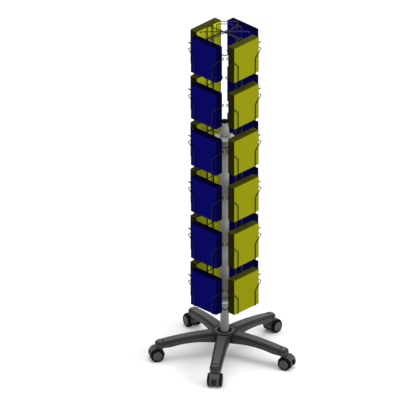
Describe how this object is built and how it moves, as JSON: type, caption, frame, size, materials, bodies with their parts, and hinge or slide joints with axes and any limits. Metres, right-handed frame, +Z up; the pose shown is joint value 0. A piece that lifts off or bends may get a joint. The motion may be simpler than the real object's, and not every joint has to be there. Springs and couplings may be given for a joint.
{
  "type": "rotating greeting card rack",
  "caption": "Floor-standing card display with four sides of wire pockets turning on a central pole, on a star base with swivelling twin-wheel casters.",
  "frame": {"origin": "on the floor, on the pole's axis", "axes": "+Z up along the pole, +X towards the middle of one olive side, -Y towards the middle of one navy side; one arm of the base points along +Y"},
  "size_m": [0.6818, 0.6493, 1.7196],
  "materials": {
    "base_nylon": "grained dark grey glass-filled nylon",
    "socket_black": "plain black plastic",
    "pole_paint": "satin grey powder coat",
    "steel": "zinc-plated steel",
    "collar_grey": "satin grey paint",
    "hood_nylon": "moulded grey nylon",
    "wheel_grey": "moulded grey nylon",
    "tyre_black": "soft black tread",
    "bush_nylon": "plain dark nylon",
    "disc_paint": "pale satin powder coat",
    "frame_paint": "dark grey powder-coated wire",
    "pocket_paint": "dark grey powder-coated wire",
    "card_olive": "plain printed card, olive yellow",
    "card_navy": "plain printed card, navy"
  },
  "bodies": {
    "base": {"star_base": "base_nylon", "pole_socket": "socket_black", "pole": "pole_paint", "pole_plug": "socket_black", "pole_foot": "steel", "pole_bolt": "steel", "caster_stems": "steel", "support_collar": "collar_grey", "collar_screw": "steel"},
    "rotor": {"lower_bush": "bush_nylon", "upper_bush": "bush_nylon", "lower_disc": "disc_paint", "upper_disc": "disc_paint", "lower_frame": "frame_paint", "middle_frame": "frame_paint", "upper_ring": "frame_paint", "top_cross": "frame_paint", "sign_holder": "frame_paint", "spine_front_right": "frame_paint", "spine_back_right": "frame_paint", "spine_back_left": "frame_paint", "spine_front_left": "frame_paint", "pockets_front_right": "pocket_paint", "pockets_back_right": "pocket_paint", "pockets_back_left": "pocket_paint", "pockets_front_left": "pocket_paint", "cards_front_right": "card_olive", "cards_back_right": "card_navy", "cards_back_left": "card_olive", "cards_front_left": "card_navy"},
    "caster_1": {"caster_hood_1": "hood_nylon", "caster_axle_1": "steel"},
    "wheel_1a": {"caster_wheel_1a": "wheel_grey", "caster_tyre_1a": "tyre_black"},
    "wheel_1b": {"caster_wheel_1b": "wheel_grey", "caster_tyre_1b": "tyre_black"},
    "caster_2": {"caster_hood_2": "hood_nylon", "caster_axle_2": "steel"},
    "wheel_2a": {"caster_wheel_2a": "wheel_grey", "caster_tyre_2a": "tyre_black"},
    "wheel_2b": {"caster_wheel_2b": "wheel_grey", "caster_tyre_2b": "tyre_black"},
    "caster_3": {"caster_hood_3": "hood_nylon", "caster_axle_3": "steel"},
    "wheel_3a": {"caster_wheel_3a": "wheel_grey", "caster_tyre_3a": "tyre_black"},
    "wheel_3b": {"caster_wheel_3b": "wheel_grey", "caster_tyre_3b": "tyre_black"},
    "caster_4": {"caster_hood_4": "hood_nylon", "caster_axle_4": "steel"},
    "wheel_4a": {"caster_wheel_4a": "wheel_grey", "caster_tyre_4a": "tyre_black"},
    "wheel_4b": {"caster_wheel_4b": "wheel_grey", "caster_tyre_4b": "tyre_black"},
    "caster_5": {"caster_hood_5": "hood_nylon", "caster_axle_5": "steel"},
    "wheel_5a": {"caster_wheel_5a": "wheel_grey", "caster_tyre_5a": "tyre_black"},
    "wheel_5b": {"caster_wheel_5b": "wheel_grey", "caster_tyre_5b": "tyre_black"}
  },
  "joints": [
    {"name": "rotor_spin", "type": "hinge", "parent": "base", "child": "rotor", "pos_m": [0, 0, 0.2788], "axis": [0, 0, 1], "continuous": true},
    {"name": "caster_1_swivel", "type": "hinge", "parent": "base", "child": "caster_1", "pos_m": [0, 0.296, 0.0655], "axis": [0, 0, 1], "continuous": true},
    {"name": "wheel_1a_roll", "type": "hinge", "parent": "caster_1", "child": "wheel_1a", "pos_m": [0, 0.316, 0.031], "axis": [-1, 0, 0], "continuous": true},
    {"name": "wheel_1b_roll", "type": "hinge", "parent": "caster_1", "child": "wheel_1b", "pos_m": [0, 0.316, 0.031], "axis": [-1, 0, 0], "continuous": true},
    {"name": "caster_2_swivel", "type": "hinge", "parent": "base", "child": "caster_2", "pos_m": [-0.28151, 0.09147, 0.0655], "axis": [0, 0, 1], "continuous": true},
    {"name": "wheel_2a_roll", "type": "hinge", "parent": "caster_2", "child": "wheel_2a", "pos_m": [-0.30053, 0.09765, 0.031], "axis": [-0.309, -0.9511, 0], "continuous": true},
    {"name": "wheel_2b_roll", "type": "hinge", "parent": "caster_2", "child": "wheel_2b", "pos_m": [-0.30053, 0.09765, 0.031], "axis": [-0.309, -0.9511, 0], "continuous": true},
    {"name": "caster_3_swivel", "type": "hinge", "parent": "base", "child": "caster_3", "pos_m": [-0.17398, -0.23947, 0.0655], "axis": [0, 0, 1], "continuous": true},
    {"name": "wheel_3a_roll", "type": "hinge", "parent": "caster_3", "child": "wheel_3a", "pos_m": [-0.18574, -0.25565, 0.031], "axis": [0.809, -0.5878, 0], "continuous": true},
    {"name": "wheel_3b_roll", "type": "hinge", "parent": "caster_3", "child": "wheel_3b", "pos_m": [-0.18574, -0.25565, 0.031], "axis": [0.809, -0.5878, 0], "continuous": true},
    {"name": "caster_4_swivel", "type": "hinge", "parent": "base", "child": "caster_4", "pos_m": [0.17398, -0.23947, 0.0655], "axis": [0, 0, 1], "continuous": true},
    {"name": "wheel_4a_roll", "type": "hinge", "parent": "caster_4", "child": "wheel_4a", "pos_m": [0.18574, -0.25565, 0.031], "axis": [0.809, 0.5878, 0], "continuous": true},
    {"name": "wheel_4b_roll", "type": "hinge", "parent": "caster_4", "child": "wheel_4b", "pos_m": [0.18574, -0.25565, 0.031], "axis": [0.809, 0.5878, 0], "continuous": true},
    {"name": "caster_5_swivel", "type": "hinge", "parent": "base", "child": "caster_5", "pos_m": [0.28151, 0.09147, 0.0655], "axis": [0, 0, 1], "continuous": true},
    {"name": "wheel_5a_roll", "type": "hinge", "parent": "caster_5", "child": "wheel_5a", "pos_m": [0.30053, 0.09765, 0.031], "axis": [-0.309, 0.9511, 0], "continuous": true},
    {"name": "wheel_5b_roll", "type": "hinge", "parent": "caster_5", "child": "wheel_5b", "pos_m": [0.30053, 0.09765, 0.031], "axis": [-0.309, 0.9511, 0], "continuous": true}
  ]
}
